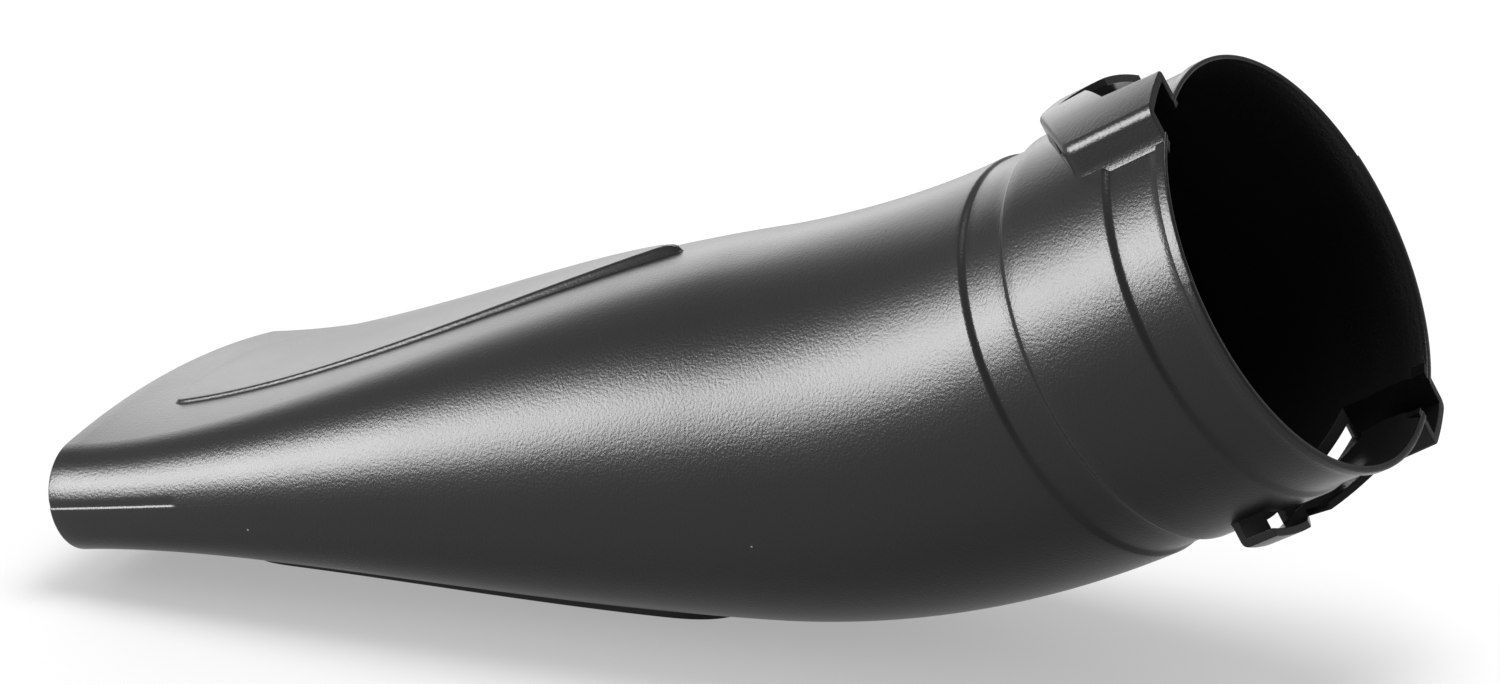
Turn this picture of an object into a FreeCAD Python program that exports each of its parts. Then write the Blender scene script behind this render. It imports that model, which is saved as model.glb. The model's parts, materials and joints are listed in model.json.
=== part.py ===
"""Flat nozzle tube of a hand-held leaf blower: one moulded piece.

A round socket collar with two bayonet pockets runs through a bend into a flat, wide mouth.
Lengths are millimetres. The tube is modelled from its socket: the rim's centre is the zero point,
+X leaves the socket along its axis, +Z is the side that the nozzle bends towards.
At the end it is turned to the attitude in which it lies on its belly.
"""
import FreeCAD, Part
import math
import os

# Wall and socket
wall = 1.8
bore_radius = 45.2
collar_length = 56.0
band_rise = 0.8          # how far the middle band stands above the rest of the collar
band_front = 15.5        # rim to the middle of the band's front step
band_back = 44.0         # rim to the middle of the band's back step
step_run = 2.0           # axial length of each sloping step
lip_width = 3.0
lip_rise = 0.5
lower_lip_rise = 1.0     # the half below the parting line carries a thicker lip

# Duct
body_radius = 47.3       # outside, where the duct leaves the collar
bend_angle = 20.0
bend_radius = 229.0
nozzle_length = 176.0    # straight run from the bend to the mouth
mouth_width = 110.0
mouth_height = 34.0
shoulder_angle = 77.0    # where the section's side arcs hand over to its top and bottom arcs
widen_delay = 13.0       # from the collar to where the duct begins to widen
widen_ease = 0.8
flatten_delay = 4.0      # from the collar to where the duct begins to flatten
flatten_ease = 1.35
duct_sections = 16

# Drop-shaped panel raised on the nozzle's top. It stands higher towards its tip.
panel_rise = 1.5
panel_tip_rise = 2.6
panel_margin = 17.0      # mouth to the panel's wide end
panel_length = 139.0
panel_width = 52.0
panel_end_radius = 100.0
panel_side_radius = 330.0

# Tapered panel raised on the nozzle's belly
belly_rise = 0.6
belly_tip_rise = 1.8
belly_margin = 40.0      # mouth to the panel's wide end
belly_length = 118.0
belly_width = 88.0
belly_tip_width = 46.0
belly_corner_radius = 14.0

# Bayonet pockets, one on top and the same turned half a turn about the socket axis.
# Each is a slot through the collar under a roof that stands on walls at its back and sides.
# The roof is open towards the rim along the ramp and the locking run, and at the run's end.
pocket_rise = 6.4        # roof above the plain collar
entry_near = 28.7        # the entry channel's two walls, from the socket axis
entry_far = 16.0
ramp_start = 15.7        # rim to where the ramp leaves the entry channel
ramp_end = 4.6           # the ramp's open edge ends this far from the socket axis
ramp_back_start = 23.0   # rim to where the back wall begins to follow the ramp
ramp_back_end = 9.0      # the back wall's ramp ends this far from the socket axis
run_front = 25.0         # rim to the open edge and the back wall of the locking run
run_back = 36.0
run_back_end = 33.7      # the back wall leans to this distance at the run's end
run_end = 20.0           # open end of the run, past the socket axis
pocket_corner_radius = 3.5
pocket_edge_radius = 1.5
ramp_window_length = 8.5
ramp_window_inset = 1.5  # from the back wall's outer corner to the ramp window
back_window_length = 10.0
back_window_inset = 5.8   # from the foot of the back wall's ramp to the back window
notch_depth = 6.0        # V notch in the roof where the ramp meets the run
notch_run_side = 5.0     # the notch's three points, from the socket axis
notch_ramp_side = 5.5
notch_point = 7.0
window_sill = 0.3        # left standing above the collar under each window

# Attitude at rest: the socket axis points up by this angle
rest_pitch = 28.6

# Cutters run past the faces that they open by this much, and points closer than tiny are one
overrun = 5.0
tiny = 0.01

collar_radius = bore_radius + wall
band_radius = collar_radius + band_rise
roof_radius = collar_radius + pocket_rise
bend = math.radians(bend_angle)
bend_length = bend_radius * bend
tube_length = collar_length + bend_length + nozzle_length
X_AXIS = FreeCAD.Vector(1, 0, 0)
Y_AXIS = FreeCAD.Vector(0, 1, 0)
Z_AXIS = FreeCAD.Vector(0, 0, 1)
ORIGIN = FreeCAD.Vector(0, 0, 0)


def spine(distance):
    """Point on the tube's centre line, and its turn so far, at a distance from the rim."""
    if distance <= collar_length:
        return FreeCAD.Vector(-distance, 0, 0), 0.0
    turn = min((distance - collar_length) / bend_radius, bend)
    straight = max(distance - collar_length - bend_length, 0.0)
    x = -collar_length - bend_radius * math.sin(turn) - straight * math.cos(turn)
    z = bend_radius * (1 - math.cos(turn)) + straight * math.sin(turn)
    return FreeCAD.Vector(x, 0, z), turn


def ease(distance, delay, power):
    """Smooth change from 0 near the collar to 1 at the mouth."""
    start = collar_length + delay
    share = (distance - start) / (tube_length - start)
    share = min(max(share, 0.0), 1.0) ** power
    return share * share * (3 - 2 * share)


def section(distance, grow):
    """Four-arc oval across the duct. grow moves the wall outwards, or inwards if negative."""
    centre, turn = spine(distance)
    up = FreeCAD.Vector(math.sin(turn), 0, math.cos(turn))
    half_width = body_radius + (mouth_width / 2 - body_radius) * ease(distance, widen_delay, widen_ease)
    half_height = body_radius + (mouth_height / 2 - body_radius) * ease(distance, flatten_delay, flatten_ease)
    shoulder = math.radians(shoulder_angle)
    gap = (half_width - half_height) / (math.sin(shoulder) + math.cos(shoulder) - 1)
    side_radius = half_width - gap * math.cos(shoulder) + grow
    face_radius = half_height + gap * math.sin(shoulder) + grow

    def side(angle, sign):
        across = sign * (half_width + grow - side_radius + side_radius * math.cos(angle))
        return centre + Y_AXIS * across + up * (side_radius * math.sin(angle))

    def face(sign):
        return centre + up * (sign * (half_height + grow))

    right_top, right_low = side(shoulder, 1), side(-shoulder, 1)
    left_top, left_low = side(shoulder, -1), side(-shoulder, -1)
    arcs = [
        Part.Arc(right_low, side(0, 1), right_top),
        Part.Arc(right_top, face(1), left_top),
        Part.Arc(left_top, side(0, -1), left_low),
        Part.Arc(left_low, face(-1), right_low),
    ]
    return Part.Wire([arc.toShape() for arc in arcs])


def duct(grow, past_mouth=0.0):
    """Solid duct from the collar to the mouth. grow gives each section's growth by its distance."""
    pitch = (tube_length - collar_length) / duct_sections
    stations = [collar_length + pitch * index for index in range(duct_sections + 1)]
    if past_mouth:
        stations.append(tube_length + past_mouth)
    return Part.makeLoft([section(station, grow(station)) for station in stations], True, False)


def revolved(profile):
    """Solid turned about the socket axis from (distance from rim, radius) points."""
    first, last = profile[0][0], profile[-1][0]
    outline = [(first, 0.0)] + profile + [(last, 0.0), (first, 0.0)]
    points = [FreeCAD.Vector(-distance, 0, radius) for distance, radius in outline]
    return Part.Face(Part.makePolygon(points)).revolve(ORIGIN, X_AXIS, 360)


def collar_steps(plain, band, body):
    """Profile of the collar's steps behind the rim: plain, band, plain, then the duct."""
    half = step_run / 2
    return [
        (band_front - half, plain),
        (band_front + half, band),
        (band_back - half, band),
        (band_back + half, plain),
        (collar_length - step_run, plain),
        (collar_length, body),
    ]


def rim_lip(rise):
    """Ring around the rim that stands above the plain collar."""
    edge = collar_radius + rise
    return revolved([(0.0, edge), (lip_width - rise, edge), (lip_width, collar_radius)])


def rounded_outline(points, radius, sharp=()):
    """Closed wire in the XY plane through points, its corners rounded apart from the sharp ones."""
    count = len(points)
    edges = []
    ends = []
    for index, (x, y) in enumerate(points):
        corner = FreeCAD.Vector(x, y, 0)
        if index in sharp:
            ends.append((corner, corner))
            continue
        back = (FreeCAD.Vector(*points[index - 1], 0) - corner).normalize()
        ahead = (FreeCAD.Vector(*points[(index + 1) % count], 0) - corner).normalize()
        half_angle = back.getAngle(ahead) / 2
        reach = radius / math.tan(half_angle)
        bisector = (back + ahead).normalize()
        middle = corner + bisector * (radius / math.sin(half_angle) - radius)
        start, end = corner + back * reach, corner + ahead * reach
        edges.append((index, Part.Arc(start, middle, end).toShape()))
        ends.append((start, end))
    arcs = dict(edges)
    outline = []
    for index in range(count):
        if index in arcs:
            outline.append(arcs[index])
        outline.append(Part.LineSegment(ends[index][1], ends[(index + 1) % count][0]).toShape())
    return Part.Wire(outline)


def prism(wire, low, high):
    """Solid between two heights over a closed wire in the XY plane."""
    face = Part.Face(wire)
    face.translate(FreeCAD.Vector(0, 0, low))
    return face.extrude(FreeCAD.Vector(0, 0, high - low))


def rod(radius, front, back):
    """Round bar on the socket axis between two distances from the rim."""
    return Part.makeCylinder(radius, back - front, FreeCAD.Vector(-back, 0, 0), X_AXIS)


def pocket_outline():
    """The pocket's roof seen along Z: entry channel, ramp and locking run."""
    points = [
        (overrun, -entry_near),
        (-ramp_back_start, -entry_near),
        (-run_back, -ramp_back_end),
        (-run_back_end, run_end),
        (-run_front, run_end),
        (-run_front, -ramp_end),
        (-ramp_start, -entry_far),
        (overrun, -entry_far),
    ]
    return rounded_outline(points, pocket_corner_radius, sharp=(0, 3, 4, 6, 7))


def pocket_inside():
    """Room under the roof seen along Z. It runs past the roof where the pocket is open."""
    lean = (run_back - run_back_end) / (run_end + ramp_back_end)
    past_end = 2 * overrun
    points = [
        (2 * overrun, -entry_near),
        (-ramp_back_start, -entry_near),
        (-run_back, -ramp_back_end),
        (past_end * lean - run_back_end, run_end + past_end),
        (2 * overrun - run_front, run_end + past_end),
        (2 * overrun - run_front, -ramp_end),
        (wall - ramp_start, 2 * overrun - entry_far),
        (wall - ramp_start, -entry_far),
        (2 * overrun, -entry_far),
    ]
    corners = [FreeCAD.Vector(x, y, 0) for x, y in points + points[:1]]
    return Part.makePolygon(corners).makeOffset2D(-wall, 2)


def pocket_shell():
    """Outside of the top pocket, a solid with a rounded roof edge, flush with the rim."""
    solid = prism(pocket_outline(), 0, 2 * roof_radius)
    solid = solid.common(rod(roof_radius, 0, run_back + overrun))

    def over_a_wall(edge):
        middle = edge.valueAt((edge.FirstParameter + edge.LastParameter) / 2)
        points = [vertex.Point for vertex in edge.Vertexes] + [middle]
        on_roof = all(abs(math.hypot(point.y, point.z) - roof_radius) < tiny for point in points)
        at_rim = middle.x > -tiny
        at_run_end = middle.y > run_end - tiny
        at_open_front = middle.x > -run_front - tiny and middle.y > -entry_far + tiny
        return on_roof and not (at_rim or at_run_end or at_open_front)

    return solid.makeFillet(pocket_edge_radius, [edge for edge in solid.Edges if over_a_wall(edge)])


def above_collar(cutter):
    """The part of a cutter between the collar and the underside of the pocket's roof."""
    room = rod(roof_radius - wall, -overrun, run_back + overrun)
    return cutter.common(room).cut(rod(band_radius + window_sill, -2 * overrun, run_back + 2 * overrun))


def wall_window(start, end):
    """Cutter for a window through a pocket wall, between two plan points on its outer face."""
    along = (end - start).normalize()
    through = FreeCAD.Vector(-along.y, along.x, 0) * (2 * wall)
    quad = [start - through, end - through, end + through, start + through, start - through]
    return above_collar(prism(Part.makePolygon(quad), 0, 2 * roof_radius))


def roof_notch():
    """Cutter for the V notch through the roof's open edge."""
    point = FreeCAD.Vector(-run_front - notch_depth, -notch_point, 0)
    run_side = FreeCAD.Vector(-run_front, notch_run_side, 0)
    ramp_side = FreeCAD.Vector(-run_front, -notch_ramp_side, 0)
    corners = [point, point + (run_side - point) * 2, point + (ramp_side - point) * 2, point]
    notch = prism(Part.makePolygon(corners), 0, 2 * roof_radius)
    return notch.cut(rod(band_radius + window_sill, 0, run_back))


def pocket_cavity():
    """Inside of the top pocket with its slot, windows and notch."""
    room = prism(pocket_inside(), 0, 2 * roof_radius)
    slot = room.common(prism(pocket_outline(), 0, 2 * roof_radius))
    slot = slot.common(rod(roof_radius - wall, -overrun, run_back + overrun))
    corner = FreeCAD.Vector(-ramp_back_start, -entry_near, 0)
    ramp_foot = FreeCAD.Vector(-run_back, -ramp_back_end, 0)
    down_ramp = (ramp_foot - corner).normalize()
    ramp_from = corner + down_ramp * ramp_window_inset
    run_foot = FreeCAD.Vector(-run_back_end, run_end, 0)
    down_run = (run_foot - ramp_foot).normalize()
    back_from = ramp_foot + down_run * back_window_inset
    return slot.fuse([
        above_collar(room),
        wall_window(ramp_from, ramp_from + down_ramp * ramp_window_length),
        wall_window(back_from, back_from + down_run * back_window_length),
        roof_notch(),
    ])


def half_turn(shape):
    """Copy of a shape turned half a turn about the socket axis."""
    copy = shape.copy()
    copy.rotate(ORIGIN, X_AXIS, 180)
    return copy


def top_outline():
    """Drop shape of the top panel in the XY plane, mouth end at the zero point, tip towards +X."""
    half = panel_width / 2
    tip = FreeCAD.Vector(panel_length, 0, 0)
    end_sag = panel_end_radius - math.sqrt(panel_end_radius ** 2 - half ** 2)
    wire_points = []
    for sign in (1, -1):
        shoulder = FreeCAD.Vector(end_sag, sign * half, 0)
        chord = tip - shoulder
        sag = panel_side_radius - math.sqrt(panel_side_radius ** 2 - (chord.Length / 2) ** 2)
        outward = FreeCAD.Vector(-chord.y, chord.x, 0).normalize() * sign
        wire_points.append((shoulder, shoulder + chord * 0.5 + outward * sag))
    (left, left_bulge), (right, right_bulge) = wire_points
    arcs = [
        Part.Arc(right, ORIGIN, left),
        Part.Arc(left, left_bulge, tip),
        Part.Arc(tip, right_bulge, right),
    ]
    return Part.Wire([arc.toShape() for arc in arcs])


def belly_outline():
    """Tapered outline of the belly panel, placed like the top panel's."""
    corners = [
        (0.0, -belly_width / 2),
        (belly_length, -belly_tip_width / 2),
        (belly_length, belly_tip_width / 2),
        (0.0, belly_width / 2),
    ]
    return rounded_outline(corners, belly_corner_radius)


def panel(wire, margin, length, rises, heights, inset):
    """Block in the nozzle between two heights. One end is a panel's face, inset by a wall if asked."""
    mouth, turn = spine(tube_length)
    if inset:
        wire = wire.makeOffset2D(-inset)
    block = prism(wire, *heights)
    block.translate(FreeCAD.Vector(margin, 0, 0))
    block.rotate(ORIGIN, Y_AXIS, math.degrees(turn))
    block.translate(mouth)
    wide_end, tip = rises

    def grow(distance):
        share = min(max((tube_length - margin - distance) / length, 0.0), 1.0)
        return wide_end + (tip - wide_end) * share - inset

    return block.common(duct(grow))


def panels(inset=0.0):
    """The top panel's block and the belly panel's."""
    top_rises = (panel_rise, panel_tip_rise)
    belly_rises = (belly_rise, belly_tip_rise)
    return [
        panel(top_outline(), panel_margin, panel_length, top_rises, (0, body_radius), inset),
        panel(belly_outline(), belly_margin, belly_length, belly_rises, (-body_radius, 0), inset),
    ]


def nozzle_tube():
    outside = revolved([(0.0, collar_radius)] + collar_steps(collar_radius, band_radius, body_radius))
    lower = Part.makeBox(2 * tube_length, 2 * roof_radius, roof_radius,
                         FreeCAD.Vector(-tube_length, -roof_radius, -roof_radius))
    pocket = pocket_shell()
    outside = outside.fuse([
        duct(lambda distance: 0.0),
        rim_lip(lip_rise),
        rim_lip(lower_lip_rise).common(lower),
        pocket,
        half_turn(pocket),
    ] + panels())
    inner_steps = collar_steps(bore_radius, band_radius - wall, body_radius - wall)
    bore = revolved([(-overrun, bore_radius)] + inner_steps)
    cavity = pocket_cavity()
    inside = bore.fuse([
        duct(lambda distance: -wall, overrun),
        cavity,
        half_turn(cavity),
    ] + panels(wall))
    return outside.cut(inside).Solids[0]


def at_rest(shape):
    """The tube lying on its belly, centred over the zero point."""
    shape.rotate(ORIGIN, Y_AXIS, -rest_pitch)
    box = shape.optimalBoundingBox(False, False)
    shape.translate(FreeCAD.Vector(-box.Center.x, -box.Center.y, -box.ZMin))
    return shape


tube = at_rest(nozzle_tube())
os.makedirs("parts", exist_ok=True)
tube.exportStep("parts/nozzle_tube.step")
print("valid", tube.isValid(), "volume in cubic centimetres", round(tube.Volume / 1000, 1))
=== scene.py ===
"""Looks of the leaf blower nozzle tube: a smooth moulded shell, its raised panels and its bayonet pockets.

The tube's shapes are laid out flat first, as distance from the rim, place around the section and height
above the skin. One Geometry Nodes tree then bends and flattens them all by the same rule.
"""

import json
import math

import bmesh
import bpy
import numpy as np
from mathutils import Matrix, Vector


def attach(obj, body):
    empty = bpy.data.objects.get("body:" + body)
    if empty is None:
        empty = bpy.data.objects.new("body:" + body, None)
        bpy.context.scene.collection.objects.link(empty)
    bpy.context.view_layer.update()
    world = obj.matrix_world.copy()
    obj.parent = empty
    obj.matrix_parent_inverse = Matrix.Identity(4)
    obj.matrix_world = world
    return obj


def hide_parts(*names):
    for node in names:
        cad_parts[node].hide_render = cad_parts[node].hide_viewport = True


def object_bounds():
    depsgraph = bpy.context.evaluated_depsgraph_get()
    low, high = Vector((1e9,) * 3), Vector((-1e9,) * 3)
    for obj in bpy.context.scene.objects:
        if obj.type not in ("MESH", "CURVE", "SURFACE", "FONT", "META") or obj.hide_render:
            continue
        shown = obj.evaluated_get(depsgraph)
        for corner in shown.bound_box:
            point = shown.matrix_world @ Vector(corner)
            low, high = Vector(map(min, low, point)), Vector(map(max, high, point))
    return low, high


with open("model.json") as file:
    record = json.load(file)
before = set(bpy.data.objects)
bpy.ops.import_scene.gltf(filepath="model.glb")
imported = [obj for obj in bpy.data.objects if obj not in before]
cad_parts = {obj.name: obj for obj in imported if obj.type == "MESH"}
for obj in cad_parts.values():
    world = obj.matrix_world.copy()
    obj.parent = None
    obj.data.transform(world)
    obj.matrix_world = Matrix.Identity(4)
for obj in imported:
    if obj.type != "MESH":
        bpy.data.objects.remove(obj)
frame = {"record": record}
cad_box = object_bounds()

MM = 0.001

# Wall and socket
WALL = 1.8 * MM
BORE_RADIUS = 45.2 * MM
COLLAR_RADIUS = BORE_RADIUS + WALL
COLLAR_LENGTH = 56 * MM
RIM_FROM_MOUNT = 27 * MM
BAND_RISE = 0.8 * MM
BAND_FRONT = 15.5 * MM
BAND_BACK = 44 * MM
STEP_RUN = 2 * MM
LIP_WIDTH = 3 * MM
LIP_RISE = 0.5 * MM
LOWER_LIP_RISE = 1 * MM
LIP_SPLIT = math.radians(13)
EDGE_ROUND = 0.5 * MM
NECK_DEPTH = 0.5 * MM
INNER_STEP_RUN = 10 * MM
RIM_CHAMFER = 1.2 * MM
RIM_CHAMFER_LENGTH = 5 * MM

# Duct
BODY_RADIUS = 47.3 * MM
BEND_ANGLE = math.radians(20)
BEND_RADIUS = 229 * MM
NOZZLE_LENGTH = 176 * MM
TUBE_LENGTH = COLLAR_LENGTH + BEND_RADIUS * BEND_ANGLE + NOZZLE_LENGTH
MOUTH_WIDTH = 109.9 * MM
MOUTH_HEIGHT = 34 * MM
SHOULDER_ANGLE = math.radians(77)
MOUTH_SHOULDER_ANGLE = math.radians(80.5)
WIDEN_DELAY = 13 * MM
WIDEN_EASE = 0.8
FLATTEN_DELAY = 4 * MM
FLATTEN_EASE = 1.35

# Parting line on both sides: a ledge near the mouth, then a fine groove that fades out
SEAM_ABOVE_MIDDLE = math.radians(3)
LEDGE_LENGTH = 38 * MM
LEDGE_DEPTH = 0.22 * MM
LEDGE_SPREAD = math.radians(1.2)
LEDGE_FADE = math.radians(10)
LEDGE_END = 2 * MM
SEAM_LENGTH = 114 * MM
SEAM_DEPTH = 0.035 * MM
SEAM_SPREAD = math.radians(0.3)

# Drop-shaped panel on the top and tapered panel on the belly
PANEL_RISE = 0.9 * MM
PANEL_TIP_RISE = 2.5 * MM
PANEL_GROWTH = 3.0
PANEL_TIP_DROP = 0.5
TIP_START = 0.95
PANEL_MARGIN = 17 * MM
PANEL_LENGTH = 139 * MM
PANEL_WIDTH = 52 * MM
PANEL_END_RADIUS = 100 * MM
PANEL_SIDE_RADIUS = 330 * MM
PANEL_EDGE = 1.4 * MM
PANEL_LEAN = math.radians(24)
PANEL_FOOT = 0.3 * MM
BELLY_RISE = 0.55 * MM
BELLY_TIP_RISE = 1.75 * MM
BELLY_LEAN = math.radians(8)
BELLY_EDGE = 0.25 * MM
BELLY_MARGIN = 40 * MM
BELLY_LENGTH = 118 * MM
BELLY_WIDTH = 88 * MM
BELLY_TIP_WIDTH = 46 * MM
BELLY_CORNER = 14 * MM
OUTLINE_STEP = 1.4 * MM
MIDDLE_STEP = 1.5 * MM

# Bayonet pockets, laid out in plan: X out of the socket, Y across, and a radius for height
ROOF_RADIUS = COLLAR_RADIUS + 6.35 * MM
RIM_SETBACK = 0.2 * MM
ENTRY_NEAR = 28.7 * MM
ENTRY_FAR = 16 * MM
RAMP_START = 15.7 * MM
RAMP_END = 4.6 * MM
RAMP_BACK_START = 23 * MM
RAMP_BACK_END = 9 * MM
RUN_FRONT = 25 * MM
RUN_BACK = 36 * MM
RUN_BACK_END = 33.7 * MM
RUN_END = 20 * MM
POCKET_CORNER = 3.5 * MM
POCKET_EDGE = 1.4 * MM
POCKET_WALL_POINTS = 16
# Foot of the pocket's walls: radius and outward step, both in millimetres
POCKET_FOOT = ((45.5, 0.6), (46.9, 0.6), (47.1, 0.42), (47.5, 0.22), (47.9, 0.12), (48.4, 0.04), (48.9, 0.0))
WINDOW_SILL = 48.2 * MM
RAMP_WINDOW = (1.5 * MM, 10 * MM)
BACK_WINDOW = (5.8 * MM, 15.8 * MM)
NOTCH_DEPTH = 6 * MM
NOTCH_RUN_SIDE = 5 * MM
NOTCH_RAMP_SIDE = 5.5 * MM
NOTCH_POINT = 7 * MM

# Camera in the socket's own frame
LENS = 111.6
SENSOR = 36.0
CAMERA_PLACE = Vector((464.288, -875.692, 100.235)) * MM
CAMERA_RIGHT = Vector((0.74573, 0.47595, -0.46623))
CAMERA_UP = Vector((0.35459, 0.30892, 0.88251))
FLOOR_COLOUR = (0.85, 0.85, 0.85, 1)
FLOOR_WHITE = 0.38
ROOM_LIGHT = 0.5


class Value:
    """A node socket that can be used in Python arithmetic, in shader and geometry trees alike."""

    def __init__(self, tree, socket):
        self.tree = tree
        self.socket = socket

    def math(self, operation, *others):
        made = node(self.tree, "ShaderNodeMath", {"operation": operation}, self, *others)
        return Value(self.tree, made.outputs[0])

    def __add__(self, other):
        return self.math("ADD", other)

    def __sub__(self, other):
        return self.math("SUBTRACT", other)

    def __mul__(self, other):
        return self.math("MULTIPLY", other)

    def __truediv__(self, other):
        return self.math("DIVIDE", other)

    def __pow__(self, other):
        return self.math("POWER", other)

    def __neg__(self):
        return self * -1.0

    def __gt__(self, other):
        return self.math("GREATER_THAN", other)

    def __rsub__(self, other):
        return (self * -1.0) + other

    def __rtruediv__(self, other):
        return self ** -1.0 * other

    __radd__ = __add__
    __rmul__ = __mul__

    def clamp(self, low, high):
        return self.math("MAXIMUM", low).math("MINIMUM", high)

    def choose(self, if_true, if_false):
        return self * if_true + (1 - self) * if_false


def node(tree, kind, settings=None, *values, **named):
    """Adds a node, sets its settings first, then fills its inputs in order or by name."""
    made = tree.nodes.new(kind)
    for key, setting in (settings or {}).items():
        setattr(made, key, setting)
    filled = list(enumerate(values)) + [(key.replace("_", " "), value) for key, value in named.items()]
    for key, value in filled:
        socket = made.inputs[key]
        if isinstance(value, Value):
            tree.links.new(value.socket, socket)
        elif isinstance(value, bpy.types.NodeSocket):
            tree.links.new(value, socket)
        elif value is not None:
            socket.default_value = value
    return made


def collar_matrix():
    """Socket frame in the model: rim centre at the zero point, +X out of the socket, +Z on its upper side."""
    mount = frame["record"]["mounts"][0]
    axis = Vector(mount["axis"]).normalized()
    across = Vector((0, 1, 0))
    rim = Vector(mount["pos_m"]) + axis * RIM_FROM_MOUNT
    turn = Matrix((axis, across, axis.cross(across))).transposed().to_4x4()
    return Matrix.Translation(rim) @ turn


SOCKET = collar_matrix()


DUCT_SIZES = {
    "Collar length": COLLAR_LENGTH,
    "Bend angle": BEND_ANGLE,
    "Bend radius": BEND_RADIUS,
    "Nozzle length": NOZZLE_LENGTH,
    "Body radius": BODY_RADIUS,
    "Mouth half width": MOUTH_WIDTH / 2,
    "Mouth half height": MOUTH_HEIGHT / 2,
    "Shoulder angle": SHOULDER_ANGLE,
    "Mouth shoulder angle": MOUTH_SHOULDER_ANGLE,
    "Widen delay": WIDEN_DELAY,
    "Widen ease": WIDEN_EASE,
    "Flatten delay": FLATTEN_DELAY,
    "Flatten ease": FLATTEN_EASE,
    "Flat side": 0.0,
}


def duct_tree():
    """Geometry Nodes rule that turns flat layouts into the bent, flattening tube.

    A layout's X is the distance from the rim and its Z the height above the skin. Its Y is the direction
    that the skin faces around the section, or, where Flat side is 1 or -1, the place across the top or belly.
    """
    tree = bpy.data.node_groups.new("bend_and_flatten", "GeometryNodeTree")
    tree.interface.new_socket("Geometry", in_out="INPUT", socket_type="NodeSocketGeometry")
    for name in DUCT_SIZES:
        tree.interface.new_socket(name, in_out="INPUT", socket_type="NodeSocketFloat")
    tree.interface.new_socket("Material", in_out="INPUT", socket_type="NodeSocketMaterial")
    tree.interface.new_socket("Geometry", in_out="OUTPUT", socket_type="NodeSocketGeometry")
    given = node(tree, "NodeGroupInput")
    size = {name: Value(tree, given.outputs[name]) for name in DUCT_SIZES}
    layout = node(tree, "ShaderNodeSeparateXYZ", None, node(tree, "GeometryNodeInputPosition").outputs[0])
    distance, around, height = (Value(tree, layout.outputs[axis]) for axis in "XYZ")

    bend_length = size["Bend radius"] * size["Bend angle"]
    length = size["Collar length"] + bend_length + size["Nozzle length"]

    def eased(delay, power):
        start = size["Collar length"] + delay
        share = ((distance - start) / (length - start)).clamp(0.0, 1.0) ** power
        return share * share * (3 - share * 2)

    body = size["Body radius"]
    half_width = body + (size["Mouth half width"] - body) * eased(size["Widen delay"], size["Widen ease"])
    half_height = body + (size["Mouth half height"] - body) * eased(size["Flatten delay"], size["Flatten ease"])
    to_mouth = (1 - (length - distance) / size["Nozzle length"]).clamp(0.0, 1.0)
    shoulder = size["Shoulder angle"] + (size["Mouth shoulder angle"] - size["Shoulder angle"]) * to_mouth ** 2
    shoulder_sin, shoulder_cos = shoulder.math("SINE"), shoulder.math("COSINE")
    gap = (half_width - half_height) / (shoulder_sin + shoulder_cos - 1.0)
    side_radius = half_width - gap * shoulder_cos + height
    face_radius = half_height + gap * shoulder_sin + height

    flat = size["Flat side"].math("ABSOLUTE") > 0.5
    reach = around.math("ABSOLUTE")
    past_face = reach > face_radius * shoulder_cos
    side_share = around.math("SIGN") * (reach - gap * shoulder_cos) / side_radius
    facing_flat = past_face.choose(side_share, around / face_radius).math("ARCCOSINE") * size["Flat side"]
    facing = flat.choose(facing_flat, around)
    facing_cos = facing.math("COSINE")
    facing_sin = facing.math("SINE")
    on_face = facing_sin.math("ABSOLUTE") > shoulder_sin
    across_side = facing_cos.math("SIGN") * gap * shoulder_cos + side_radius * facing_cos
    across = on_face.choose(face_radius * facing_cos, across_side)
    rise_face = face_radius * facing_sin - facing_sin.math("SIGN") * gap * shoulder_sin
    rise = on_face.choose(rise_face, side_radius * facing_sin)

    turn = ((distance - size["Collar length"]) / size["Bend radius"]).clamp(0.0, size["Bend angle"])
    turn_sin, turn_cos = turn.math("SINE"), turn.math("COSINE")
    straight = (distance - size["Collar length"] - bend_length).math("MAXIMUM", 0.0)
    before = distance.math("MINIMUM", size["Collar length"])
    along = -before - size["Bend radius"] * turn_sin - straight * turn_cos
    lift = size["Bend radius"] * (1 - turn_cos) + straight * turn_sin
    place = node(tree, "ShaderNodeCombineXYZ", None, along + rise * turn_sin, across, lift + rise * turn_cos)
    bent = node(tree, "GeometryNodeSetPosition", None, given.outputs["Geometry"], Position=place.outputs[0])
    joined = node(tree, "GeometryNodeRealizeInstances", None, bent.outputs[0])
    dressed = node(tree, "GeometryNodeSetMaterial", None, joined.outputs[0], Material=given.outputs["Material"])
    node(tree, "NodeGroupOutput", None, dressed.outputs[0])
    return tree


def shaped(name, layout, tree, sizes, material):
    """Runs a layout mesh through a Geometry Nodes tree and keeps the result as a plain mesh object."""
    carrier = bpy.data.objects.new(name + "_layout", layout)
    bpy.context.collection.objects.link(carrier)
    modifier = carrier.modifiers.new("rule", "NODES")
    modifier.node_group = tree
    for item in tree.interface.items_tree:
        if item.in_out == "INPUT" and item.name in sizes:
            modifier[item.identifier] = sizes[item.name]
        if item.in_out == "INPUT" and item.name == "Material":
            modifier[item.identifier] = material
    evaluated = carrier.evaluated_get(bpy.context.evaluated_depsgraph_get())
    mesh = bpy.data.meshes.new_from_object(evaluated)
    mesh.name = name
    bpy.data.objects.remove(carrier)
    bpy.data.meshes.remove(layout)
    piece = bpy.data.objects.new(name, mesh)
    bpy.context.collection.objects.link(piece)
    return piece


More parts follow.
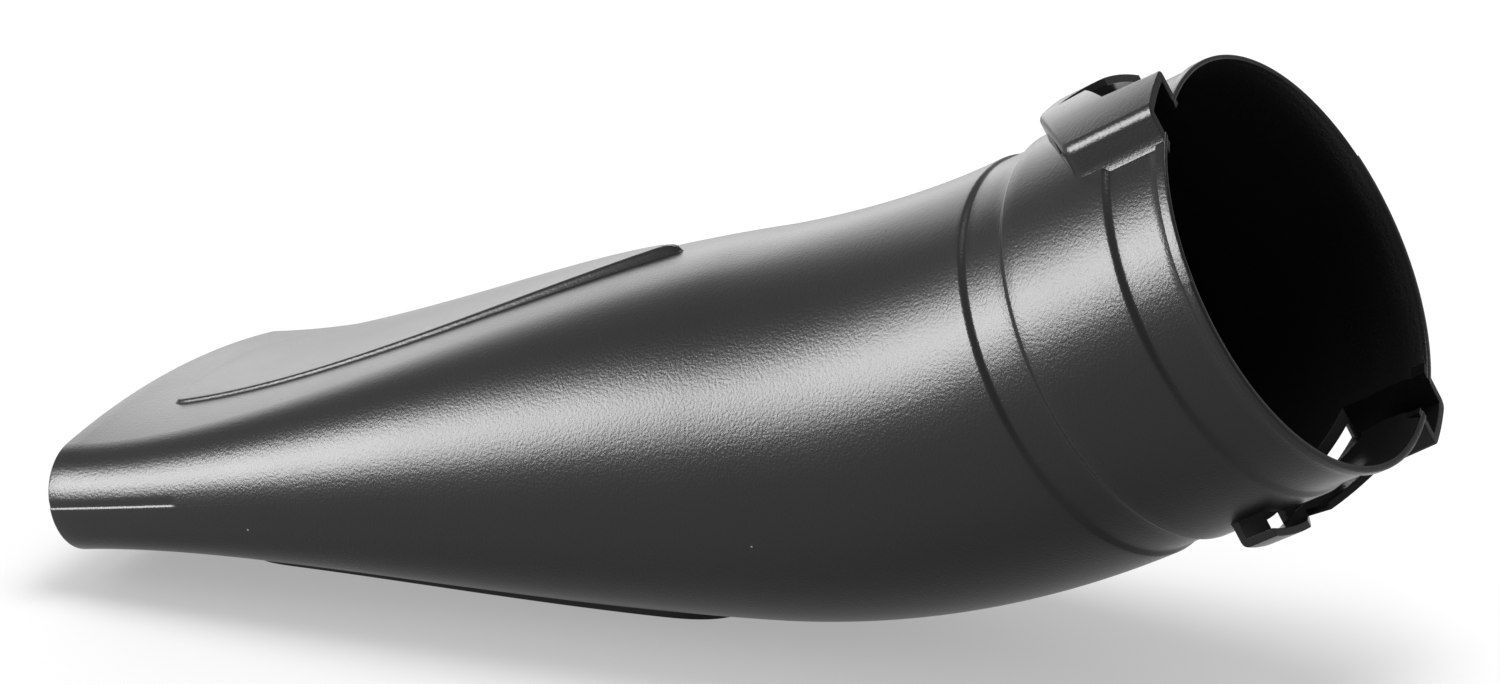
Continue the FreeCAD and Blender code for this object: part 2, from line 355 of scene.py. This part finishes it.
def grid_mesh(name, rows, close_rows, close_columns):
    """Mesh of quads over rows of points."""
    count, width = len(rows), len(rows[0])
    points = [point for row in rows for point in row]
    faces = []
    for i in range(count if close_rows else count - 1):
        for j in range(width if close_columns else width - 1):
            k, m = (i + 1) % count, (j + 1) % width
            faces.append((i * width + j, i * width + m, k * width + m, k * width + j))
    mesh = bpy.data.meshes.new(name)
    mesh.from_pydata(points, [], faces)
    return mesh


def smooth_step(share):
    share = min(max(share, 0.0), 1.0)
    return share * share * (3 - 2 * share)


def collar_height(distance, plain, band, neck, body, run):
    """Height of the collar's skin along its steps, with soft slopes: plain, band, neck, then the duct."""
    def step(middle):
        return smooth_step((distance - middle) / run + 0.5)

    height = plain + (band - plain) * step(BAND_FRONT)
    height += (neck - band) * step(BAND_BACK)
    return height + (body - neck) * step(COLLAR_LENGTH - STEP_RUN / 2)


def below_split(facing):
    """1 where the skin faces below the lip's split line, 0 above it."""
    return 1.0 if math.sin(facing) < math.sin(LIP_SPLIT) else 0.0


def seam_height(distance, facing):
    """Dip of the upper mould half along the parting line: a ledge near the mouth, then a fine groove."""
    from_mouth = TUBE_LENGTH - distance
    above = math.asin(math.sin(facing)) - SEAM_ABOVE_MIDDLE
    ledge = 1 - smooth_step((from_mouth - LEDGE_LENGTH) / LEDGE_END + 1)
    dip = smooth_step(above / LEDGE_SPREAD / 2 + 0.5) * (1 - smooth_step(above / LEDGE_FADE))
    groove = smooth_step(1 - abs(above) / SEAM_SPREAD) * (1 - smooth_step(from_mouth / SEAM_LENGTH))
    return -LEDGE_DEPTH * ledge * dip - SEAM_DEPTH * (1 - ledge) * groove


def outer_height(distance, facing):
    plain = COLLAR_RADIUS - BODY_RADIUS
    height = collar_height(distance, plain, plain + BAND_RISE, plain - NECK_DEPTH, 0.0, STEP_RUN)
    lip = LIP_RISE + (LOWER_LIP_RISE - LIP_RISE) * below_split(facing)
    height += lip * (1 - smooth_step((distance - LIP_WIDTH + lip) / lip))
    return height + seam_height(distance, facing)


def inner_height(distance):
    plain = BORE_RADIUS - BODY_RADIUS
    lead_in = RIM_CHAMFER * max(1 - distance / RIM_CHAMFER_LENGTH, 0.0)
    return collar_height(distance, plain, plain + BAND_RISE, plain, -WALL, INNER_STEP_RUN) + lead_in


def facing_stops():
    """Directions around the section, closer together over the flat faces and at the parting lines."""
    stops = []
    shoulder, face = SHOULDER_ANGLE, math.pi / 2 - SHOULDER_ANGLE
    for start, run, count in ((-shoulder, 2 * shoulder, 72), (shoulder, 2 * face, 36),
                              (math.pi - shoulder, 2 * shoulder, 72), (math.pi + shoulder, 2 * face, 36)):
        stops += [start + run * index / count for index in range(count)]
    sliver = math.radians(0.12)
    lip_stops = [-sliver, sliver]
    seam_stops = [LEDGE_SPREAD * share for share in (-1, -0.6, 0.6, 1)] + [-SEAM_SPREAD, 0.0, SEAM_SPREAD]
    for split, extra in ((SEAM_ABOVE_MIDDLE, seam_stops), (LIP_SPLIT, lip_stops)):
        for line in (split, math.pi - split):
            stops = [stop for stop in stops if abs(stop - line) > 1.5 * max(extra)]
            stops += [line + step for step in extra]
    return sorted(stops)


def distance_stops():
    """Distances from the rim for the skin's rows, closer together at each step."""
    stops = set()
    for middle in (BAND_FRONT, BAND_BACK, COLLAR_LENGTH - STEP_RUN / 2):
        stops |= {round(middle + STEP_RUN * (index / 10 - 0.5), 6) for index in range(11)}
    stops |= {round(LIP_WIDTH - LOWER_LIP_RISE + LOWER_LIP_RISE * index / 6, 6) for index in range(7)}
    stops |= {round(TUBE_LENGTH - LEDGE_LENGTH + 0.5 * MM * index, 6) for index in range(-1, 6)}
    stops.add(round(1.2 * MM, 6))
    spaced = [2.5 * MM * index for index in range(1, int(TUBE_LENGTH / (2.5 * MM)))]
    clear = [stop for stop in spaced if min(abs(stop - other) for other in stops) > 0.6 * MM]
    return sorted(stops | set(clear))


def shell_layout():
    """Layout of the whole shell: outside from rim to mouth, round the edge, and back along the inside."""
    facings = facing_stops()
    distances = distance_stops()
    skin = [distance for distance in distances if distance < TUBE_LENGTH - EDGE_ROUND]
    rows = [[(distance, facing, outer_height(distance, facing)) for facing in facings] for distance in skin]

    def edge(end, outward, facing_height):
        """Rounded edge of the wall from the outside to the inside, at one end of the tube."""
        made = []
        for index in range(9):
            angle = math.pi * index / 8
            row = []
            for facing in facings:
                top, low = facing_height(facing)
                radius = (top - low) / 2
                flatness = min(EDGE_ROUND / radius, 1.0)
                reach = math.sin(angle) ** 0.6 * EDGE_ROUND
                side = math.copysign(abs(math.cos(angle)) ** flatness, math.cos(angle))
                row.append((end + outward * (reach - EDGE_ROUND), facing, (top + low) / 2 + side * radius))
            made.append(row)
        return made

    rows += edge(TUBE_LENGTH, 1, lambda facing: (outer_height(TUBE_LENGTH, facing), -WALL))
    rows += [[(distance, facing, inner_height(distance)) for facing in facings] for distance in reversed(skin)]
    rim = edge(0.0, -1, lambda facing: (outer_height(0.0, facing), inner_height(0.0)))
    rows += list(reversed(rim))
    return grid_mesh("shell_layout", rows, True, True)


def drop_outline():
    """Corners of the top panel's drop shape in plan, as distance from its wide end and place across."""
    half = PANEL_WIDTH / 2
    end_sag = PANEL_END_RADIUS - math.sqrt(PANEL_END_RADIUS ** 2 - half ** 2)
    shoulder, tip = Vector((end_sag, half)), Vector((PANEL_LENGTH, 0.0))
    chord = tip - shoulder
    inward = Vector((chord.y, -chord.x)).normalized()
    centre = shoulder + chord / 2 + inward * math.sqrt(PANEL_SIDE_RADIUS ** 2 - (chord.length / 2) ** 2)
    start = math.atan2(shoulder.y - centre.y, shoulder.x - centre.x)
    stop = math.atan2(tip.y - centre.y, tip.x - centre.x)
    side = []
    for index in range(91):
        angle = start + (stop - start) * index / 90
        side.append(centre + Vector((math.cos(angle), math.sin(angle))) * PANEL_SIDE_RADIUS)
    spread = math.asin(half / PANEL_END_RADIUS)
    end = []
    for index in range(1, 24):
        angle = -spread + 2 * spread * index / 24
        end.append(Vector((1 - math.cos(angle), math.sin(angle))) * PANEL_END_RADIUS)
    return side + [Vector((point.x, -point.y)) for point in reversed(side[:-1])] + end


def tapered_outline():
    """Rounded corners of the belly panel's outline in plan."""
    corners = [
        (0.0, -BELLY_WIDTH / 2),
        (BELLY_LENGTH, -BELLY_TIP_WIDTH / 2),
        (BELLY_LENGTH, BELLY_TIP_WIDTH / 2),
        (0.0, BELLY_WIDTH / 2),
    ]
    return list(reversed(corner_rounded(corners, BELLY_CORNER, sharp=())))


def evenly_spaced(outline, passes):
    """Points at even steps along a closed outline, its corners softened by averaging neighbours."""
    line = np.array([tuple(point) for point in outline])
    closed = np.vstack([line, line[:1]])
    run = np.concatenate([[0.0], np.cumsum(np.linalg.norm(np.diff(closed, axis=0), axis=1))])
    places = np.linspace(0.0, run[-1], int(run[-1] / OUTLINE_STEP), endpoint=False)
    even = np.stack([np.interp(places, run, closed[:, axis]) for axis in (0, 1)], axis=1)
    for _ in range(passes):
        even = (np.roll(even, 1, 0) + 2 * even + np.roll(even, -1, 0)) / 4
    return even


def panel_layout(outline, margin, length, rises, side, growth, tip_drop, lean, edge_radius):
    """Layout of a raised panel: its steep rounded edge, then rings that close in on its middle line."""
    near, far = 0.2 * length, 0.9 * length
    tangent = np.roll(outline, -1, 0) - np.roll(outline, 1, 0)
    outward = np.stack([-tangent[:, 1], tangent[:, 0]], axis=1)
    outward /= np.linalg.norm(outward, axis=1)[:, None]
    outward *= np.sign((outward * (outline - outline.mean(axis=0))).sum())

    def rise(x):
        share = min(max(x / length, 0.0), 1.0)
        full = rises[0] + (rises[1] - rises[0]) * share ** growth
        return full * (1 - tip_drop * smooth_step((share - TIP_START) / (1 - TIP_START)))

    def edge_row(place):
        row = []
        for (x, y), away in zip(outline, outward):
            push, level = place(rise(x))
            row.append((TUBE_LENGTH - margin - x - away[0] * push, y + away[1] * push, level))
        return row

    def rounded_over(angle):
        """Place on the edge's rounding, as outward push and level, for a panel of a given height."""
        def place(height):
            radius = min(edge_radius, height)
            wall = height - radius * (1 - math.sin(lean))
            run = wall * math.tan(lean)
            push = radius * (math.cos(angle) - math.cos(lean)) - run
            return push, wall + radius * (math.sin(angle) - math.sin(lean))
        return place

    # Outward step and level of the foot, as shares of its size
    foot = [(1.5, -1.0), (1.2, 0.0), (0.4, 0.25), (0.0, 0.6)]
    rows = [edge_row(lambda height, out=out, up=up: (out * PANEL_FOOT, up * PANEL_FOOT)) for out, up in foot]
    for index in range(7):
        rows.append(edge_row(rounded_over(lean + (math.pi / 2 - lean) * index / 6)))
    last = rows[-1]
    for index in range(1, 13):
        share = index / 12
        row = []
        for (distance, y, _), (x, _) in zip(last, outline):
            goal = TUBE_LENGTH - margin - round(min(max(x, near), far) / MIDDLE_STEP) * MIDDLE_STEP
            there = distance + (goal - distance) * share
            row.append((there, y * (1 - share), rise(TUBE_LENGTH - margin - there)))
        rows.append(row)
    mesh = grid_mesh("panel_layout", [row[::-side] for row in rows], False, True)
    shape = bmesh.new()
    shape.from_mesh(mesh)
    bmesh.ops.remove_doubles(shape, verts=shape.verts, dist=0.002 * MM)
    shape.to_mesh(mesh)
    shape.free()
    return mesh


def corner_rounded(points, radius, sharp):
    """Closed plan outline with arcs at its corners, apart from the sharp ones."""
    outline = []
    for index, point in enumerate(points):
        corner = Vector(point)
        if index in sharp:
            outline.append(corner)
            continue
        back = (Vector(points[index - 1]) - corner).normalized()
        ahead = (Vector(points[(index + 1) % len(points)]) - corner).normalized()
        half = back.angle(ahead) / 2
        reach = radius / math.tan(half)
        centre = corner + (back + ahead).normalized() * radius / math.sin(half)
        start, end = corner + back * reach - centre, corner + ahead * reach - centre
        sweep = start.angle_signed(end)
        for step in range(7):
            outline.append(centre + Matrix.Rotation(-sweep * step / 6, 2) @ start)
    return outline


def inset_corners(points, depth):
    """Corners of a closed plan outline moved inwards by a wall."""
    moved = []
    area = sum(a[0] * b[1] - b[0] * a[1] for a, b in zip(points, points[1:] + points[:1]))
    for index, point in enumerate(points):
        here = Vector(point)
        before = (here - Vector(points[index - 1])).normalized()
        after = (Vector(points[(index + 1) % len(points)]) - here).normalized()
        left_before = Vector((-before.y, before.x)) * math.copysign(1, area)
        left_after = Vector((-after.y, after.x)) * math.copysign(1, area)
        bisector = left_before + left_after
        moved.append(tuple(here + bisector * depth / (1 + left_before.dot(left_after))))
    return moved


def prism(name, outline, low, high):
    """Closed block over a plan outline between two heights."""
    count = len(outline)
    points = [(x, y, low) for x, y in outline] + [(x, y, high) for x, y in outline]
    faces = [tuple(reversed(range(count))), tuple(range(count, 2 * count))]
    for index in range(count):
        after = (index + 1) % count
        faces.append((index, after, count + after, count + index))
    mesh = bpy.data.meshes.new(name)
    mesh.from_pydata(points, [], faces)
    block = bpy.data.objects.new(name, mesh)
    bpy.context.collection.objects.link(block)
    shape = bmesh.new()
    shape.from_mesh(mesh)
    bmesh.ops.recalc_face_normals(shape, faces=shape.faces)
    shape.to_mesh(mesh)
    shape.free()
    return block


def footed_block(outline, walls):
    """Closed block over a plan outline whose first points, the walls, step outwards to a soft foot."""
    line = np.array([tuple(point) for point in outline])
    along = np.roll(line, -1, 0) - np.roll(line, 1, 0)
    along[0], along[walls - 1] = line[1] - line[0], line[walls - 1] - line[walls - 2]
    away = np.stack([along[:, 1], -along[:, 0]], axis=1)
    away /= np.linalg.norm(away, axis=1)[:, None]
    area = sum(a[0] * b[1] - b[0] * a[1] for a, b in zip(line, np.roll(line, -1, 0)))
    away *= math.copysign(1, area)
    away[walls:] = 0.0
    rings = []
    for radius, push in POCKET_FOOT:
        rings.append([(*(point + out * push * MM), radius * MM) for point, out in zip(line, away)])
    rings.append([(x, y, ROOF_RADIUS) for x, y in line])
    mesh = grid_mesh("pocket", rings, False, True)
    shape = bmesh.new()
    shape.from_mesh(mesh)
    bmesh.ops.holes_fill(shape, edges=[edge for edge in shape.edges if edge.is_boundary], sides=0)
    bmesh.ops.recalc_face_normals(shape, faces=shape.faces)
    shape.to_mesh(mesh)
    shape.free()
    block = bpy.data.objects.new("pocket", mesh)
    bpy.context.collection.objects.link(block)
    return block


def cut_away(piece, cutters):
    """Takes cutters out of a piece and removes them."""
    for cutter in cutters:
        modifier = piece.modifiers.new("cut", "BOOLEAN")
        modifier.operation = "DIFFERENCE"
        modifier.solver = "EXACT"
        modifier.object = cutter
    keep_evaluated(piece)
    for cutter in cutters:
        bpy.data.objects.remove(cutter)


def keep_evaluated(piece):
    """Turns a piece's modifiers into its plain mesh."""
    evaluated = piece.evaluated_get(bpy.context.evaluated_depsgraph_get())
    mesh = bpy.data.meshes.new_from_object(evaluated)
    piece.modifiers.clear()
    piece.data = mesh


def pocket_corners():
    return [
        (-RIM_SETBACK, -ENTRY_NEAR),
        (-RAMP_BACK_START, -ENTRY_NEAR),
        (-RUN_BACK, -RAMP_BACK_END),
        (-RUN_BACK_END, RUN_END),
        (-RUN_FRONT, RUN_END),
        (-RUN_FRONT, -RAMP_END),
        (-RAMP_START, -ENTRY_FAR),
        (-RIM_SETBACK, -ENTRY_FAR),
    ]


def room_corners():
    """Plan of the room under the roof. It runs past the roof where the pocket is open."""
    past = 10 * MM
    lean = (RUN_BACK - RUN_BACK_END) / (RUN_END + RAMP_BACK_END)
    points = [
        (past, -ENTRY_NEAR),
        (-RAMP_BACK_START, -ENTRY_NEAR),
        (-RUN_BACK, -RAMP_BACK_END),
        (past * lean - RUN_BACK_END, RUN_END + past),
        (past - RUN_FRONT, RUN_END + past),
        (past - RUN_FRONT, -RAMP_END),
        (WALL - RAMP_START, past - ENTRY_FAR),
        (WALL - RAMP_START, -ENTRY_FAR),
        (past, -ENTRY_FAR),
    ]
    return inset_corners(points, WALL)


def wall_window(start, end, reach):
    """Cutter through a pocket wall between two distances along its outer face."""
    along = (end - start).normalized()
    through = Vector((-along.y, along.x)) * 2 * WALL
    first, last = start + along * reach[0], start + along * reach[1]
    corners = [first - through, last - through, last + through, first + through]
    return prism("window", corners, WINDOW_SILL, ROOF_RADIUS - WALL)


def pocket(material):
    """One bayonet pocket: roof and walls with rounded edges, bent round the collar."""
    corners = pocket_corners()
    outline = corner_rounded(corners, POCKET_CORNER, sharp=(0, 3, 4, 6, 7))
    block = footed_block(outline, POCKET_WALL_POINTS)
    shape = bmesh.new()
    shape.from_mesh(block.data)
    walls = []
    for edge in shape.edges:
        middle = (edge.verts[0].co + edge.verts[1].co) / 2
        on_roof = all(vert.co.z > ROOF_RADIUS - 1e-6 for vert in edge.verts)
        at_rim = middle.x > -0.3 * MM
        at_end = middle.y > RUN_END - 1e-6
        at_front = middle.x > -RUN_FRONT - 1e-6 and middle.y > -ENTRY_FAR + 1e-6
        if on_roof and not (at_rim or at_end or at_front):
            walls.append(edge)
    bmesh.ops.bevel(shape, geom=walls, offset=POCKET_EDGE, segments=4, profile=0.5, affect="EDGES")
    shape.to_mesh(block.data)
    shape.free()

    outer = [Vector(corner) for corner in corners]
    notch_point = Vector((-RUN_FRONT - NOTCH_DEPTH, -NOTCH_POINT))
    run_side = Vector((-RUN_FRONT, NOTCH_RUN_SIDE))
    ramp_side = Vector((-RUN_FRONT, -NOTCH_RAMP_SIDE))
    notch = [notch_point, notch_point + (run_side - notch_point) * 2, notch_point + (ramp_side - notch_point) * 2]
    cut_away(block, [
        prism("room", room_corners(), BORE_RADIUS - 5 * MM, ROOF_RADIUS - WALL),
        wall_window(outer[1], outer[2], RAMP_WINDOW),
        wall_window(outer[2], outer[3], BACK_WINDOW),
        prism("notch", notch, WINDOW_SILL, ROOF_RADIUS + 5 * MM),
    ])
    soft = block.modifiers.new("soft edges", "BEVEL")
    soft.width = 0.3 * MM
    soft.segments = 2
    soft.limit_method = "ANGLE"
    soft.angle_limit = math.radians(40)
    keep_evaluated(block)

    shape = bmesh.new()
    shape.from_mesh(block.data)
    for index in range(-16, 12):
        bmesh.ops.bisect_plane(shape, geom=shape.verts[:] + shape.edges[:] + shape.faces[:],
                               plane_co=(0, index * 1.8 * MM, 0), plane_no=(0, 1, 0))
    for vert in shape.verts:
        vert.co.z = math.sqrt(vert.co.z ** 2 - vert.co.y ** 2)
    bmesh.ops.triangulate(shape, faces=[face for face in shape.faces if len(face.verts) > 4])
    shape.to_mesh(block.data)
    shape.free()
    block.data.materials.clear()
    block.data.materials.append(material)
    return block


def slot_cutter(turned):
    """Cutter for the slot that a pocket covers, through the collar's wall."""
    room = [Vector(corner) for corner in room_corners()]
    corners = [
        (3 * MM, room[1].y),
        room[1],
        room[2],
        (-RUN_BACK_END + WALL, RUN_END),
        (-RUN_FRONT, RUN_END),
        (-RUN_FRONT, -RAMP_END),
        (-RAMP_START, -ENTRY_FAR),
        (-RAMP_START, -ENTRY_FAR - WALL),
        (3 * MM, -ENTRY_FAR - WALL),
    ]
    cutter = prism("slot", inset_corners([tuple(corner) for corner in corners], 0.06 * MM), 25 * MM, ROOF_RADIUS)
    if turned:
        cutter.data.transform(Matrix.Rotation(math.pi, 4, "X"))
    return cutter


def pair_tree():
    """Geometry Nodes tree that adds a copy turned half a turn about the socket axis."""
    tree = bpy.data.node_groups.new("half_turn_pair", "GeometryNodeTree")
    tree.interface.new_socket("Geometry", in_out="INPUT", socket_type="NodeSocketGeometry")
    tree.interface.new_socket("Turn", in_out="INPUT", socket_type="NodeSocketFloat")
    tree.interface.new_socket("Material", in_out="INPUT", socket_type="NodeSocketMaterial")
    tree.interface.new_socket("Geometry", in_out="OUTPUT", socket_type="NodeSocketGeometry")
    given = node(tree, "NodeGroupInput")
    turn = node(tree, "ShaderNodeCombineXYZ", None, given.outputs["Turn"])
    copy = node(tree, "GeometryNodeTransform", None, given.outputs["Geometry"], Rotation=turn.outputs[0])
    both = tree.nodes.new("GeometryNodeJoinGeometry")
    tree.links.new(given.outputs["Geometry"], both.inputs[0])
    tree.links.new(copy.outputs[0], both.inputs[0])
    joined = node(tree, "GeometryNodeRealizeInstances", None, both.outputs[0])
    dressed = node(tree, "GeometryNodeSetMaterial", None, joined.outputs[0], Material=given.outputs["Material"])
    node(tree, "NodeGroupOutput", None, dressed.outputs[0])
    return tree


def satin_plastic():
    """Black moulded plastic with a fine grain, a soft sheen and a few specks of dust."""
    material = bpy.data.materials.new("satin_black_plastic")
    material.use_nodes = True
    tree = material.node_tree
    tree.nodes.clear()
    place = node(tree, "ShaderNodeTexCoord").outputs["Object"]

    def noise(scale, detail):
        made = node(tree, "ShaderNodeTexNoise", None, place, Scale=scale, Detail=detail)
        return Value(tree, made.outputs["Fac"])

    grain = noise(scale=1600.0, detail=2.0)
    cloud = noise(scale=35.0, detail=3.0)
    cells = node(tree, "ShaderNodeTexVoronoi", None, place, Scale=260.0)
    pick = node(tree, "ShaderNodeSeparateXYZ", None, cells.outputs["Color"])
    dust = (Value(tree, pick.outputs["X"]) > 0.985) * (0.075 - Value(tree, cells.outputs["Distance"]) > 0.0)
    colour = node(tree, "ShaderNodeMix", {"data_type": "RGBA"}, dust, None, None, None, None, None,
                  (0.006, 0.006, 0.0063, 1), (0.1, 0.1, 0.1, 1))
    bump = node(tree, "ShaderNodeBump", None, Strength=0.42, Distance=0.00016, Height=grain)
    shader = node(tree, "ShaderNodeBsdfPrincipled", None, colour.outputs[2], Normal=bump.outputs[0],
                  Roughness=0.24 + cloud * 0.06 + grain * 0.04, IOR=1.3)
    node(tree, "ShaderNodeOutputMaterial", None, shader.outputs[0])
    return material


def smooth_shaded(piece, angle):
    """Smooth shading that keeps edges sharper than an angle."""
    piece.data.shade_smooth()
    piece.data.set_sharp_from_angle(angle=math.radians(angle))


def stage_floor():
    """Plain pale floor, whitened where it shows so that its shadow stays light."""
    mesh = bpy.data.meshes.new("floor")
    reach = 4.0
    corners = [(-reach, -reach, 0), (reach, -reach, 0), (reach, reach, 0), (-reach, reach, 0)]
    mesh.from_pydata(corners, [], [(0, 1, 2, 3)])
    floor = bpy.data.objects.new("floor", mesh)
    bpy.context.collection.objects.link(floor)
    material = bpy.data.materials.new("pale_floor")
    material.use_nodes = True
    tree = material.node_tree
    tree.nodes.clear()
    path = node(tree, "ShaderNodeLightPath").outputs
    rays = [Value(tree, path[kind]) for kind in ("Is Camera Ray", "Is Glossy Ray", "Is Transmission Ray")]
    shaded = node(tree, "ShaderNodeBsdfDiffuse", None, FLOOR_COLOUR)
    white = node(tree, "ShaderNodeEmission", None, (1, 1, 1, 1), 1.0)
    seen = sum(rays).clamp(0.0, 1.0) * FLOOR_WHITE
    mixed = node(tree, "ShaderNodeMixShader", None, seen, shaded.outputs[0], white.outputs[0])
    node(tree, "ShaderNodeOutputMaterial", None, mixed.outputs[0])
    mesh.materials.append(material)
    return floor


def softbox(name, azimuth, elevation, distance, width, height, power, aim):
    """Rectangular lamp seen from the object at an azimuth from the front and an elevation."""
    data = bpy.data.lights.new(name, "AREA")
    data.shape = "RECTANGLE"
    data.size = width
    data.size_y = height
    data.energy = power
    lamp = bpy.data.objects.new(name, data)
    turn, tilt = math.radians(azimuth), math.radians(elevation)
    away = Vector((math.sin(turn) * math.cos(tilt), -math.cos(turn) * math.cos(tilt), math.sin(tilt)))
    lamp.location = aim + away * distance
    lamp.rotation_euler = away.to_track_quat("Z", "Y").to_euler()
    bpy.context.collection.objects.link(lamp)
    return lamp


def stage_world():
    """Even white light from the room."""
    world = bpy.data.worlds.new("studio")
    bpy.context.scene.world = world
    world.use_nodes = True
    tree = world.node_tree
    tree.nodes.clear()
    room = node(tree, "ShaderNodeBackground", None, (1, 1, 1, 1), ROOM_LIGHT)
    node(tree, "ShaderNodeOutputWorld", None, room.outputs[0])


def photo_camera():
    data = bpy.data.cameras.new("photo_camera")
    data.lens = LENS
    data.sensor_width = SENSOR
    camera = bpy.data.objects.new("photo_camera", data)
    right, up = CAMERA_RIGHT.normalized(), CAMERA_UP.normalized()
    turn = Matrix((right, up, right.cross(up))).transposed().to_4x4()
    camera.matrix_world = SOCKET @ Matrix.Translation(CAMERA_PLACE) @ turn
    bpy.context.collection.objects.link(camera)
    bpy.context.scene.camera = camera


plastic = satin_plastic()
rule = duct_tree()
shell = shaped("tube_shell", shell_layout(), rule, DUCT_SIZES, plastic)
cut_away(shell, [slot_cutter(False), slot_cutter(True)])
drop = panel_layout(
    evenly_spaced(drop_outline(), passes=4), PANEL_MARGIN, PANEL_LENGTH, (PANEL_RISE, PANEL_TIP_RISE),
    side=1, growth=PANEL_GROWTH, tip_drop=PANEL_TIP_DROP, lean=PANEL_LEAN, edge_radius=PANEL_EDGE)
top_panel = shaped("top_panel", drop, rule, {**DUCT_SIZES, "Flat side": 1.0}, plastic)
tapered = panel_layout(
    evenly_spaced(tapered_outline(), passes=1), BELLY_MARGIN, BELLY_LENGTH, (BELLY_RISE, BELLY_TIP_RISE),
    side=-1, growth=1.0, tip_drop=0.0, lean=BELLY_LEAN, edge_radius=BELLY_EDGE)
belly_panel = shaped("belly_panel", tapered, rule, {**DUCT_SIZES, "Flat side": -1.0}, plastic)
single = pocket(plastic)
pair = pair_tree()
pocket_mesh = single.data.copy()
bpy.data.objects.remove(single)
pockets = shaped("bayonet_pockets", pocket_mesh, pair, {"Turn": math.pi}, plastic)

for piece, angle in ((shell, 40), (top_panel, 60), (belly_panel, 60), (pockets, 35)):
    piece.data.transform(SOCKET)
    smooth_shaded(piece, angle)
    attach(piece, "root")
    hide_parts("nozzle_tube")
pockets.modifiers.new("even shading", "WEIGHTED_NORMAL").keep_sharp = True

photo_camera()
floor = stage_floor()
stage_world()
middle = (Vector(cad_box[0]) + Vector(cad_box[1])) / 2
front = softbox("front_left", azimuth=-45.5, elevation=19.5, distance=1.2,
                width=0.68, height=0.62, power=52, aim=middle)
softbox("back_left", azimuth=-134, elevation=14, distance=1.7, width=1.05, height=0.85, power=7.3, aim=middle)
softbox("overhead", azimuth=150, elevation=76, distance=1.6, width=0.9, height=0.9, power=22, aim=middle)
spared = bpy.data.collections.new("front_light_spares")
spared.objects.link(floor)
front.light_linking.receiver_collection = spared
spared.collection_objects[0].light_linking.link_state = "EXCLUDE"

scene = bpy.context.scene
scene.view_settings.view_transform = "Standard"
